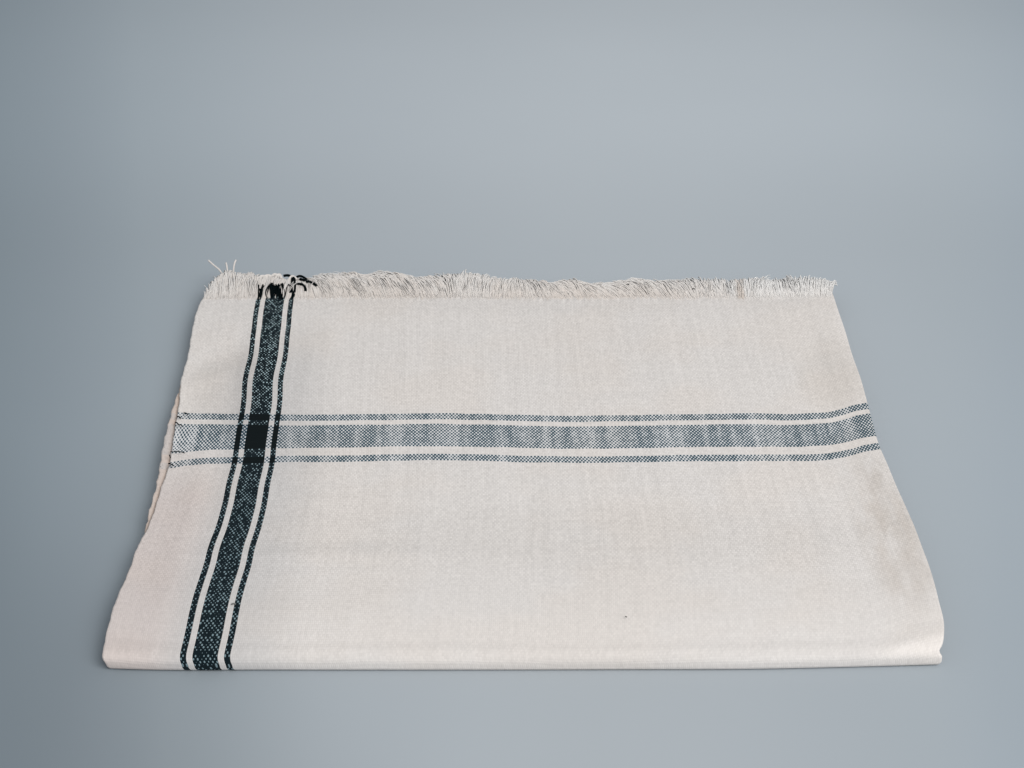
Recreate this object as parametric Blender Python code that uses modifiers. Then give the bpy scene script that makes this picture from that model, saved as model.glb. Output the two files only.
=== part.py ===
# Handwoven towel, folded flat into eight layers, with a short fringe at both ends.
# The cloth is doubled across its width, with that fold at the right.
# It is then folded twice along its length, with the outermost fold at the front.
# Metres. X runs left to right, -Y is the front, +Z is up, and the surface is at z = 0.

import bisect
import math
import random

import bmesh
import bpy
from mathutils import Vector

# Sizes of the cloth and its stack of layers
SHEET = 0.0013
LAYER_GAP = 0.0005
LAYER_PITCH = SHEET + LAYER_GAP
PAIR_PITCH = 2 * LAYER_PITCH
PAIR_HALF = LAYER_PITCH / 2
FLOOR_MIDDLE = SHEET / 2

# Heights of the middle of each doubled layer, from the surface up
PAIR_Z = {
    "bottom": FLOOR_MIDDLE + PAIR_HALF,
    "third": FLOOR_MIDDLE + PAIR_HALF + PAIR_PITCH,
    "second": FLOOR_MIDDLE + PAIR_HALF + 2 * PAIR_PITCH,
    "top": FLOOR_MIDDLE + PAIR_HALF + 3 * PAIR_PITCH,
}

# Where the folds turn, front to back
OUTER_FOLD_Y = -0.168
INNER_FOLD_Y = -0.167
BACK_FOLD_Y = 0.1535
FIRST_END_Y = 0.156
SECOND_END_Y = 0.153

# Edges of the top doubled layer: its fold at the right, and at the left the selvedges of its
# outer and inner layers. The outer layer is the one that shows on top of the folded towel.
TOP_RUN = [
    {"y": FIRST_END_Y, "right": 0.1962, "left_outer": -0.1992, "left_inner": -0.1985},
    {"y": 0.142, "right": 0.1970, "left_outer": -0.2016, "left_inner": -0.1998},
    {"y": 0.116, "right": 0.1977, "left_outer": -0.2020, "left_inner": -0.2004},
    {"y": 0.087, "right": 0.1980, "left_outer": -0.2014, "left_inner": -0.2008},
    {"y": 0.062, "right": 0.1988, "left_outer": -0.2006, "left_inner": -0.2012},
    {"y": 0.036, "right": 0.1984, "left_outer": -0.1989, "left_inner": -0.2021},
    {"y": 0.016, "right": 0.1981, "left_outer": -0.1978, "left_inner": -0.2022},
    {"y": -0.004, "right": 0.1982, "left_outer": -0.1965, "left_inner": -0.2018},
    {"y": -0.022, "right": 0.1998, "left_outer": -0.1954, "left_inner": -0.2006},
    {"y": -0.042, "right": 0.2013, "left_outer": -0.1963, "left_inner": -0.1995},
    {"y": -0.062, "right": 0.2027, "left_outer": -0.1967, "left_inner": -0.1996},
    {"y": -0.080, "right": 0.2042, "left_outer": -0.1980, "left_inner": -0.1990},
    {"y": -0.094, "right": 0.2052, "left_outer": -0.2003, "left_inner": -0.1985},
    {"y": -0.112, "right": 0.2068, "left_outer": -0.2004, "left_inner": -0.1982},
    {"y": -0.140, "right": 0.2068, "left_outer": -0.2016, "left_inner": -0.1990},
    {"y": -0.160, "right": 0.2058, "left_outer": -0.2024, "left_inner": -0.2000},
    {"y": OUTER_FOLD_Y, "right": 0.2045, "left_outer": -0.2026, "left_inner": -0.2004},
]

# Edges around the outer front fold, by the angle turned from the top
OUTER_FOLD = [
    {"angle": 22, "right": 0.2028, "left_outer": -0.2026, "left_inner": -0.2004},
    {"angle": 45, "right": 0.2016, "left_outer": -0.2024, "left_inner": -0.2002},
    {"angle": 68, "right": 0.2020, "left_outer": -0.2019, "left_inner": -0.1999},
    {"angle": 90, "right": 0.2030, "left_outer": -0.2012, "left_inner": -0.1996},
    {"angle": 112, "right": 0.2031, "left_outer": -0.2004, "left_inner": -0.1992},
    {"angle": 135, "right": 0.2022, "left_outer": -0.1996, "left_inner": -0.1988},
    {"angle": 158, "right": 0.2008, "left_outer": -0.1990, "left_inner": -0.1984},
]

BOTTOM_RUN = [
    {"y": OUTER_FOLD_Y, "right": 0.2004, "left_outer": -0.1986, "left_inner": -0.1980},
    {"y": -0.164, "right": 0.2004, "left_outer": -0.1985, "left_inner": -0.1980},
    {"y": -0.110, "right": 0.2012, "left_outer": -0.1992, "left_inner": -0.1976},
    {"y": -0.055, "right": 0.2000, "left_outer": -0.1984, "left_inner": -0.1990},
    {"y": 0.000, "right": 0.1972, "left_outer": -0.1976, "left_inner": -0.2000},
    {"y": 0.055, "right": 0.1968, "left_outer": -0.1990, "left_inner": -0.1996},
    {"y": 0.110, "right": 0.1960, "left_outer": -0.2000, "left_inner": -0.1984},
    {"y": 0.149, "right": 0.1955, "left_outer": -0.1996, "left_inner": -0.1980},
    {"y": BACK_FOLD_Y, "right": 0.1954, "left_outer": -0.1994, "left_inner": -0.1980},
]

BACK_FOLD = [
    {"angle": 36, "right": 0.1952, "left_outer": -0.1992, "left_inner": -0.1980},
    {"angle": 72, "right": 0.1950, "left_outer": -0.1990, "left_inner": -0.1981},
    {"angle": 108, "right": 0.1950, "left_outer": -0.1989, "left_inner": -0.1983},
    {"angle": 144, "right": 0.1952, "left_outer": -0.1990, "left_inner": -0.1985},
]

THIRD_RUN = [
    {"y": BACK_FOLD_Y, "right": 0.1954, "left_outer": -0.1992, "left_inner": -0.1986},
    {"y": 0.110, "right": 0.1962, "left_outer": -0.1999, "left_inner": -0.1980},
    {"y": 0.055, "right": 0.1972, "left_outer": -0.1990, "left_inner": -0.1996},
    {"y": 0.000, "right": 0.1976, "left_outer": -0.1972, "left_inner": -0.2004},
    {"y": -0.055, "right": 0.2004, "left_outer": -0.1966, "left_inner": -0.1990},
    {"y": -0.110, "right": 0.2036, "left_outer": -0.1982, "left_inner": -0.1976},
    {"y": INNER_FOLD_Y, "right": 0.2022, "left_outer": -0.1992, "left_inner": -0.1982},
]

INNER_FOLD = [
    {"angle": 36, "right": 0.2018, "left_outer": -0.1993, "left_inner": -0.1984},
    {"angle": 72, "right": 0.2014, "left_outer": -0.1994, "left_inner": -0.1986},
    {"angle": 108, "right": 0.2014, "left_outer": -0.1994, "left_inner": -0.1988},
    {"angle": 144, "right": 0.2018, "left_outer": -0.1993, "left_inner": -0.1990},
]

SECOND_RUN = [
    {"y": INNER_FOLD_Y, "right": 0.2022, "left_outer": -0.1992, "left_inner": -0.1992},
    {"y": -0.110, "right": 0.2040, "left_outer": -0.1985, "left_inner": -0.1996},
    {"y": -0.055, "right": 0.2008, "left_outer": -0.1970, "left_inner": -0.1984},
    {"y": 0.000, "right": 0.1974, "left_outer": -0.1972, "left_inner": -0.1968},
    {"y": 0.055, "right": 0.1974, "left_outer": -0.1988, "left_inner": -0.1980},
    {"y": 0.110, "right": 0.1966, "left_outer": -0.1998, "left_inner": -0.1992},
    {"y": SECOND_END_Y, "right": 0.1952, "left_outer": -0.1990, "left_inner": -0.1986},
]

# Columns across a layer, as shares of the way from the right fold to the selvedge
COLUMNS = [0.0, 0.05, 0.13, 0.24, 0.36, 0.48, 0.60, 0.72, 0.84, 0.94, 1.0]
HAIRPIN_STEPS = 5

# How far the stack swells or sinks, as a share of its height, along each direction
SWELL_ALONG = [
    {"y": -0.180, "swell": 0.10},
    {"y": -0.150, "swell": 0.09},
    {"y": -0.115, "swell": -0.01},
    {"y": -0.060, "swell": 0.02},
    {"y": 0.000, "swell": -0.02},
    {"y": 0.060, "swell": 0.02},
    {"y": 0.120, "swell": -0.01},
    {"y": 0.180, "swell": 0.03},
]
SWELL_ACROSS = [
    {"x": -0.205, "swell": 0.03},
    {"x": -0.150, "swell": -0.02},
    {"x": -0.070, "swell": 0.02},
    {"x": 0.010, "swell": -0.01},
    {"x": 0.090, "swell": 0.01},
    {"x": 0.150, "swell": 0.00},
    {"x": 0.185, "swell": 0.06},
    {"x": 0.210, "swell": 0.09},
]

# How far the front edge lies back from its straight line, by the place across it
SET_BACK = [
    {"x": -0.205, "back": 0.0012},
    {"x": -0.185, "back": 0.0002},
    {"x": 0.112, "back": 0.0},
    {"x": 0.155, "back": 0.0014},
    {"x": 0.206, "back": 0.0036},
]
SET_BACK_FROM_Y = -0.060

# The places above are measured from the middle of the cloth, and the fringe's reach moves
# the middle of the whole towel
MIDDLE_Y = 0.003

# Fringe: the woven strip that holds the locks, and the locks on each of its four layers
PARTING = 0.0003
STRIP_WIDTH = 0.0025
LOCK_SHARE = 0.70
LOCK_ROWS = {
    "first_upper": {"locks": 92, "steps": 2, "reach": 0.0160, "lift": 0.0028, "rise": 0.0010},
    "first_lower": {"locks": 52, "steps": 1, "reach": 0.0130, "lift": 0.0, "rise": -0.0012},
    "second_upper": {"locks": 44, "steps": 1, "reach": 0.0135, "lift": 0.0, "rise": -0.0026},
    "second_lower": {"locks": 44, "steps": 1, "reach": 0.0125, "lift": 0.0, "rise": -0.0042},
}
LOCK_MIDDLE = 0.58
LOCK_MIDDLE_SCALE = 0.86
LOCK_TIP_SCALE = 0.42
LOCK_SEED = 11
LOCK_UNEVEN = 0.10
BACK_FACING = 0.9

# Which way the locks lean, and how long they are beside the usual, across the towel
LOCK_LEAN = [
    {"x": -0.202, "lean": -0.0016, "length": 1.34},
    {"x": -0.185, "lean": 0.0016, "length": 1.32},
    {"x": -0.165, "lean": -0.0020, "length": 1.26},
    {"x": -0.142, "lean": 0.0030, "length": 1.16},
    {"x": -0.118, "lean": -0.0030, "length": 1.14},
    {"x": -0.085, "lean": -0.0056, "length": 1.42},
    {"x": -0.052, "lean": -0.0048, "length": 1.28},
    {"x": -0.030, "lean": 0.0004, "length": 1.24},
    {"x": -0.008, "lean": 0.0026, "length": 1.04},
    {"x": 0.012, "lean": -0.0020, "length": 0.98},
    {"x": 0.032, "lean": -0.0044, "length": 0.92},
    {"x": 0.070, "lean": -0.0052, "length": 0.94},
    {"x": 0.108, "lean": -0.0036, "length": 0.92},
    {"x": 0.130, "lean": 0.0008, "length": 0.96},
    {"x": 0.152, "lean": 0.0026, "length": 1.00},
    {"x": 0.174, "lean": 0.0004, "length": 1.00},
    {"x": 0.198, "lean": 0.0012, "length": 0.98},
]

CREAM = (0.665, 0.640, 0.610, 1.0)
WOOL_WHITE = (0.640, 0.620, 0.590, 1.0)
CLOTH_ROUGHNESS = 0.92


def read_table(table, key, at, value):
    """A smooth reading of one column of a table whose rows rise in the key column."""
    if at <= table[0][key]:
        return table[0][value]
    if at >= table[-1][key]:
        return table[-1][value]
    keys = [row[key] for row in table]
    low = bisect.bisect_right(keys, at) - 1
    share = (at - keys[low]) / (keys[low + 1] - keys[low])
    share = share * share * (3 - 2 * share)
    return table[low][value] + share * (table[low + 1][value] - table[low][value])


def settle(point):
    """Swells the stack and sets its front edge back, and leaves its flat underside alone."""
    swell = read_table(SWELL_ALONG, "y", point.y, "swell")
    swell += read_table(SWELL_ACROSS, "x", point.x, "swell")
    set_back = read_table(SET_BACK, "x", point.x, "back")
    share = (SET_BACK_FROM_Y - point.y) / (SET_BACK_FROM_Y - OUTER_FOLD_Y)
    share = min(max(share, 0.0), 1.0)
    y = point.y - MIDDLE_Y + set_back * share * share * (3 - 2 * share)
    z = FLOOR_MIDDLE + (point.z - FLOOR_MIDDLE) * (1 + swell)
    return Vector((point.x, y, z))


def straight_rows(run, height, direction):
    """Stations of a straight run, whose outer face looks up where it runs forward."""
    rows = []
    for row in run:
        station = {"y": row["y"], "z": height, "normal_y": 0.0, "normal_z": -direction}
        for edge in ("right", "left_outer", "left_inner"):
            station[edge] = row[edge]
        rows.append(station)
    return rows


def fold_rows(fold, centre_y, low, high, start, side, outward):
    """Stations round a fold between two heights, from its start angle to half a turn on."""
    radius = (high - low) / 2
    rows = []
    for row in fold:
        turned = math.radians(start + side * row["angle"])
        station = {
            "y": centre_y + radius * math.cos(turned),
            "z": (high + low) / 2 + radius * math.sin(turned),
            "normal_y": outward * math.cos(turned),
            "normal_z": outward * math.sin(turned),
        }
        for edge in ("right", "left_outer", "left_inner"):
            station[edge] = row[edge]
        rows.append(station)
    return rows


def towel_stations():
    """Every station of the doubled cloth, from its first end on top to its second end."""
    bottom = PAIR_Z["bottom"]
    third = PAIR_Z["third"]
    second = PAIR_Z["second"]
    top = PAIR_Z["top"]
    stations = straight_rows(TOP_RUN, top, -1)
    stations += fold_rows(OUTER_FOLD, OUTER_FOLD_Y, bottom, top, 90, 1, 1)
    stations += straight_rows(BOTTOM_RUN, bottom, 1)
    stations += fold_rows(BACK_FOLD, BACK_FOLD_Y, bottom, third, -90, 1, 1)
    stations += straight_rows(THIRD_RUN, third, -1)
    stations += fold_rows(INNER_FOLD, INNER_FOLD_Y, third, second, -90, -1, -1)
    stations += straight_rows(SECOND_RUN, second, 1)
    return stations


def cross_points(station, columns_outer, columns_inner):
    """One line across the doubled cloth: outer layer, right fold, inner layer."""
    fold_x = station["right"] - PAIR_HALF - SHEET / 2
    places = []
    for share in reversed(columns_outer):
        x = fold_x + share * (station["left_outer"] - fold_x)
        places.append((x, PAIR_HALF))
    for step in range(1, HAIRPIN_STEPS):
        angle = math.pi / 2 - math.pi * step / HAIRPIN_STEPS
        places.append((fold_x + PAIR_HALF * math.cos(angle), PAIR_HALF * math.sin(angle)))
    for share in columns_inner:
        x = fold_x + share * (station["left_inner"] - fold_x)
        places.append((x, -PAIR_HALF))
    points = []
    for x, out in places:
        y = station["y"] + out * station["normal_y"]
        z = station["z"] + out * station["normal_z"]
        points.append(settle(Vector((x, y, z))))
    return points


def plain_material(name, colour):
    """A matt material of one colour."""
    material = bpy.data.materials.new(name)
    material.use_nodes = True
    shader = material.node_tree.nodes["Principled BSDF"]
    shader.inputs["Base Color"].default_value = colour
    shader.inputs["Roughness"].default_value = CLOTH_ROUGHNESS
    return material


def sheet_object(name, lines, material):
    """An open sheet through the given lines of points, thickened evenly to both sides."""
    mesh = bpy.data.meshes.new(name)
    count = len(lines[0])
    points = [point for line in lines for point in line]
    faces = []
    for row in range(len(lines) - 1):
        for column in range(count - 1):
            first = row * count + column
            faces.append((first, first + 1, first + count + 1, first + count))
    mesh.from_pydata(points, [], faces)
    mesh.materials.append(material)
    sheet = bpy.data.objects.new(name, mesh)
    bpy.context.scene.collection.objects.link(sheet)
    thickness = sheet.modifiers.new("Cloth thickness", "SOLIDIFY")
    thickness.thickness = SHEET
    thickness.offset = 0.0
    thickness.use_rim = True
    return sheet


def lock_columns(row, spread):
    """Shares across one layer where locks start and stop, from the right fold leftward."""
    columns = [0.0]
    for number in range(row["locks"]):
        wide = 1.0 + spread.uniform(-LOCK_UNEVEN, LOCK_UNEVEN)
        start = (number + 0.5 - LOCK_SHARE * wide / 2) / row["locks"]
        columns.append(start)
        columns.append(start + LOCK_SHARE * wide / row["locks"])
    columns.append(1.0)
    return columns


def pull_lock(bm, face, row, spread):
    """Draws one face of the strip's back edge out into a lock that narrows to its tip."""
    middle_x = face.calc_center_median().x
    lean = read_table(LOCK_LEAN, "x", middle_x, "lean")
    length = row["reach"] * read_table(LOCK_LEAN, "x", middle_x, "length")
    length *= 1.0 + spread.uniform(-LOCK_UNEVEN, LOCK_UNEVEN)
    marks = [{"share": 1.0, "scale": LOCK_TIP_SCALE, "rise": row["rise"]}]
    if row["steps"] == 2:
        middle = {"share": LOCK_MIDDLE, "scale": LOCK_MIDDLE_SCALE, "rise": row["lift"]}
        marks.insert(0, middle)
    root = face.calc_center_median().copy()
    corners = [corner.co - root for corner in face.verts]
    for mark in marks:
        made = bmesh.ops.extrude_discrete_faces(bm, faces=[face])
        face = made["faces"][0]
        along = Vector((lean * mark["share"] ** 2, length * mark["share"], mark["rise"]))
        for corner, offset in zip(face.verts, corners):
            corner.co = root + along + offset * mark["scale"]


def fringe_object(name, station, outer_row, inner_row, outer_faces_up, material):
    """The woven strip past one end of the cloth, with its locks standing out from it."""
    spread = random.Random(LOCK_SEED + len(name))
    outer_columns = lock_columns(outer_row, spread)
    inner_columns = lock_columns(inner_row, spread)
    lines = []
    for reach in (PARTING, PARTING + STRIP_WIDTH):
        moved = dict(station)
        moved["y"] = station["y"] + reach
        lines.append(cross_points(moved, outer_columns, inner_columns))
    strip = sheet_object(name + "_strip", lines, material)
    graph = bpy.context.evaluated_depsgraph_get()
    mesh = bpy.data.meshes.new_from_object(strip.evaluated_get(graph))
    bpy.data.objects.remove(strip)
    bm = bmesh.new()
    bm.from_mesh(mesh)
    fold_x = station["right"] - PAIR_HALF - SHEET / 2
    back_faces = [face for face in bm.faces if face.normal.y > BACK_FACING]
    back_faces.sort(key=lambda face: face.calc_center_median().x)
    for face in back_faces:
        centre = face.calc_center_median()
        if centre.x > fold_x:
            continue
        here = settle(Vector((centre.x, station["y"], station["z"])))
        on_outer = (centre.z > here.z) == outer_faces_up
        row = outer_row if on_outer else inner_row
        columns = outer_columns if on_outer else inner_columns
        left = station["left_outer"] if on_outer else station["left_inner"]
        share = (fold_x - centre.x) / (fold_x - left)
        cell = bisect.bisect_right(columns, share) - 1
        if cell % 2 == 1 and cell < len(columns) - 1:
            pull_lock(bm, face, row, spread)
    bmesh.ops.recalc_face_normals(bm, faces=bm.faces)
    bm.to_mesh(mesh)
    bm.free()
    mesh.name = name
    fringe = bpy.data.objects.new(name, mesh)
    bpy.context.scene.collection.objects.link(fringe)


def main():
    for thing in list(bpy.data.objects):
        bpy.data.objects.remove(thing)
    cloth_material = plain_material("Cream cloth", CREAM)
    fringe_material = plain_material("Loose warp ends", WOOL_WHITE)
    stations = towel_stations()
    lines = [cross_points(station, COLUMNS, COLUMNS) for station in stations]
    sheet_object("cloth", lines, cloth_material)
    fringe_object(
        "fringe_first_end",
        stations[0],
        LOCK_ROWS["first_upper"],
        LOCK_ROWS["first_lower"],
        True,
        fringe_material,
    )
    fringe_object(
        "fringe_second_end",
        stations[-1],
        LOCK_ROWS["second_lower"],
        LOCK_ROWS["second_upper"],
        False,
        fringe_material,
    )


main()
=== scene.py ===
# Handwoven towel, folded flat, on a plain pale ground under soft studio light.
# Metres, in the frame of the CAD: X along the front fold, -Y the front, +Z up.
import math
import random

import bpy
import numpy as np
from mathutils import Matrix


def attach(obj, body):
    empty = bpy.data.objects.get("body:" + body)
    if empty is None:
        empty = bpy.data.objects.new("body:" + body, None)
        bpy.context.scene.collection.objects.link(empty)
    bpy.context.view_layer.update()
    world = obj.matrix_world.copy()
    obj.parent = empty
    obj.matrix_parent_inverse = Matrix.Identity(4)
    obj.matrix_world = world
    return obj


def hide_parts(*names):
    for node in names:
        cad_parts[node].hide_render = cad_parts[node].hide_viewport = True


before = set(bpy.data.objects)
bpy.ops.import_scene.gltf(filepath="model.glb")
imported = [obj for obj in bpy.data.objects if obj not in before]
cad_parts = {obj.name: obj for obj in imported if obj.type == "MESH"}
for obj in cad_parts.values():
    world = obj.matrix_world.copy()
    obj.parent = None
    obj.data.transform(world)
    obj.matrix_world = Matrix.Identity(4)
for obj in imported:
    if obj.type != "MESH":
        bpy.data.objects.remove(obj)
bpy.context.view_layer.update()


# Ground
# A smooth matt sheet of pale blue-grey board under the towel, with a faint mottle; the fall of its pool of
# light and the towel's shadows beside it are painted into its colour.
# It is the stage and no part of the towel.
GROUND_HALF = 3.0
GROUND_REACH = 0.72
BOARD_DULL = (0.377, 0.412, 0.442, 1.0)
BOARD_BRIGHT = (0.398, 0.433, 0.463, 1.0)
BOARD_DEPTH_SPREAD = 0.92
CORNER_SHADE = -0.12


def rows_of(columns, *lines):
    """A table as a list of rows, each with a value under every column's name."""
    return [dict(zip(columns, line)) for line in lines]


def placed(name, data):
    """A new object that holds the data, linked into the scene."""
    thing = bpy.data.objects.new(name, data)
    bpy.context.scene.collection.objects.link(thing)
    return thing


# Colour of the light on the board, by the place to the left or right of the towel's middle
GROUND_POOL = rows_of(
    ("aside", "shade"),
    (-0.340, (0.47, 0.52, 0.56)),
    (-0.300, (0.53, 0.58, 0.61)),
    (-0.278, (0.56, 0.61, 0.64)),
    (-0.245, (0.64, 0.68, 0.71)),
    (-0.210, (0.73, 0.77, 0.79)),
    (-0.125, (0.90, 0.91, 0.92)),
    (0.000, (0.99, 0.99, 0.99)),
    (0.100, (1.00, 1.00, 1.00)),
    (0.190, (0.93, 0.94, 0.95)),
    (0.240, (0.88, 0.90, 0.91)),
    (0.275, (0.83, 0.86, 0.89)),
    (0.340, (0.73, 0.78, 0.81)),
)

# Where the board has less or more light: by how much, and the edges that fence each place in,
# as an axis (0 for X, 1 for Y), the value where it starts and the value where it is full
GROUND_SHADES = rows_of(
    ("place", "amount", "edges"),
    ("front", -0.050, [(1, 0.05, -0.20)]),
    ("back", 0.135, [(1, 0.22, 0.46)]),
    ("far back", -0.060, [(1, 0.54, 0.72)]),
    ("beside the selvedges", -0.060, [(0, -0.268, -0.212), (1, 0.08, -0.06), (0, -0.08, -0.16)]),
    ("before the front fold", -0.036, [(1, -0.155, -0.190), (0, -0.03, 0.04), (0, 0.22, 0.14)]),
    ("back right", -0.045, [(1, 0.36, 0.60), (0, 0.24, 0.46)]),
)

ground_mesh = bpy.data.meshes.new("Ground")
ground_mesh.from_pydata(
    [
        (-GROUND_HALF, -GROUND_HALF, 0.0),
        (GROUND_HALF, -GROUND_HALF, 0.0),
        (GROUND_HALF, GROUND_HALF, 0.0),
        (-GROUND_HALF, GROUND_HALF, 0.0),
    ],
    [],
    [(0, 1, 2, 3)],
)
ground = placed("Ground", ground_mesh)
ground_look = bpy.data.materials.new("Pale board")
ground_look.use_nodes = True
nodes = ground_look.node_tree.nodes
links = ground_look.node_tree.links
shader = nodes["Principled BSDF"]
shader.inputs["Roughness"].default_value = 0.75
shader.inputs["Specular IOR Level"].default_value = 0.25


def added(kind, inputs, output=0, **settings):
    """An output of a new node, its settings made and its inputs linked or filled."""
    node = nodes.new(kind)
    for name, value in settings.items():
        setattr(node, name, value)
    for slot, value in inputs.items():
        if isinstance(value, bpy.types.NodeSocket):
            links.new(value, node.inputs[slot])
        else:
            node.inputs[slot].default_value = value
    return node.outputs[output]


def reckoned(operation, *values):
    """The output of a Math node on sockets or plain numbers, in the tree being built."""
    return added("ShaderNodeMath", dict(enumerate(values)), operation=operation)


def eased(value, low, high):
    """0 below one value, 1 above another, and a smooth rise between them."""
    span = {"Value": value, "From Min": low, "From Max": high}
    return added("ShaderNodeMapRange", span, interpolation_type="SMOOTHSTEP")


def mixed(share, first, second, **settings):
    """One colour turned into another by a share."""
    inputs = {0: share, 6: first, 7: second}
    return added("ShaderNodeMix", inputs, 2, data_type="RGBA", **settings)


def scaled(colour, amount):
    """A colour made stronger or weaker by an amount."""
    return added("ShaderNodeVectorMath", {0: colour, "Scale": amount}, operation="SCALE")


def parts(vector):
    """X, Y and Z of a place."""
    return added("ShaderNodeSeparateXYZ", {0: vector}).node.outputs


place = added("ShaderNodeTexCoord", {}, "Object")
mottle = added("ShaderNodeTexNoise", {"Vector": place, "Scale": 5.0, "Detail": 3.0})
tone = mixed(mottle, BOARD_DULL, BOARD_BRIGHT)

# Painted light: the board is painted a little darker away to both sides, more to the left, as its pool of
# light falls off
spot = parts(place)
spread = reckoned("MULTIPLY_ADD", spot[1], BOARD_DEPTH_SPREAD, 1.0)
aside = reckoned("DIVIDE", spot[0], reckoned("MAXIMUM", spread, 0.4))
pool = nodes.new("ShaderNodeValToRGB")
pool.color_ramp.interpolation = "B_SPLINE"
links.new(reckoned("MULTIPLY_ADD", aside, 1.0 / GROUND_REACH, 0.5), pool.inputs[0])
for row in GROUND_POOL:
    stop = pool.color_ramp.elements.new(row["aside"] / GROUND_REACH + 0.5)
    stop.color = (*row["shade"], 1.0)
pool.color_ramp.elements.remove(pool.color_ramp.elements[0])
pool.color_ramp.elements.remove(pool.color_ramp.elements[-1])
board = added("ShaderNodeVectorMath", {0: tone, 1: pool.outputs[0]}, operation="MULTIPLY")
front_left = reckoned("MULTIPLY", reckoned("ADD", spot[0], spot[1]), -1.0)
corner = reckoned("MULTIPLY_ADD", eased(front_left, 0.26, 0.44), CORNER_SHADE, 1.0)
light_change = 0.0
for row in GROUND_SHADES:
    share = None
    for axis, low, high in row["edges"]:
        edge = eased(spot[axis], low, high)
        share = edge if share is None else reckoned("MULTIPLY", share, edge)
    light_change = reckoned("MULTIPLY_ADD", share, row["amount"], light_change)
brightness = reckoned("MULTIPLY", corner, reckoned("ADD", light_change, 1.0))
links.new(scaled(board, brightness), shader.inputs["Base Color"])
ground_mesh.materials.append(ground_look)


# Cloth
# One length of handwoven cotton, plain weave, cream with dark warp and weft stripes.
# It is doubled across its width and folded twice along its length, with the fold to the front.
SHEET = 0.0013
LAYER_PITCH = 0.0018
PAIR_HALF = LAYER_PITCH / 2
FLOOR_MIDDLE = SHEET / 2
PAIR_Z = {
    "bottom": FLOOR_MIDDLE + PAIR_HALF,
    "third": FLOOR_MIDDLE + PAIR_HALF + 2 * LAYER_PITCH,
    "second": FLOOR_MIDDLE + PAIR_HALF + 4 * LAYER_PITCH,
    "top": FLOOR_MIDDLE + PAIR_HALF + 6 * LAYER_PITCH,
}
OUTER_FOLD_Y = -0.168
INNER_FOLD_Y = -0.167
BACK_FOLD_Y = 0.1535
WOVEN_EDGE = 0.0028
FIRST_END_Y = 0.156 + WOVEN_EDGE
SECOND_END_Y = 0.153 + WOVEN_EDGE
MIDDLE_Y = 0.003
FLAT_WIDTH = 0.80
HALF_WIDTH = FLAT_WIDTH / 2

# The runs and turns of the doubled cloth, from its first end on top to its second end
PATH = [
    {"kind": "run", "from": FIRST_END_Y, "to": OUTER_FOLD_Y, "z": PAIR_Z["top"], "face": 1},
    {"kind": "turn", "y": OUTER_FOLD_Y, "low": "bottom", "high": "top", "from": 90, "side": 1, "face": 1},
    {"kind": "run", "from": OUTER_FOLD_Y, "to": BACK_FOLD_Y, "z": PAIR_Z["bottom"], "face": -1},
    {"kind": "turn", "y": BACK_FOLD_Y, "low": "bottom", "high": "third", "from": -90, "side": 1, "face": 1},
    {"kind": "run", "from": BACK_FOLD_Y, "to": INNER_FOLD_Y, "z": PAIR_Z["third"], "face": 1},
    {
        "kind": "turn",
        "y": INNER_FOLD_Y,
        "low": "third",
        "high": "second",
        "from": -90,
        "side": -1,
        "face": -1,
    },
    {"kind": "run", "from": INNER_FOLD_Y, "to": SECOND_END_Y, "z": PAIR_Z["second"], "face": -1},
]
FINE_STEP = 0.0028
COARSE_STEP = 0.0080
TURN_STEP = math.radians(9)

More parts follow.
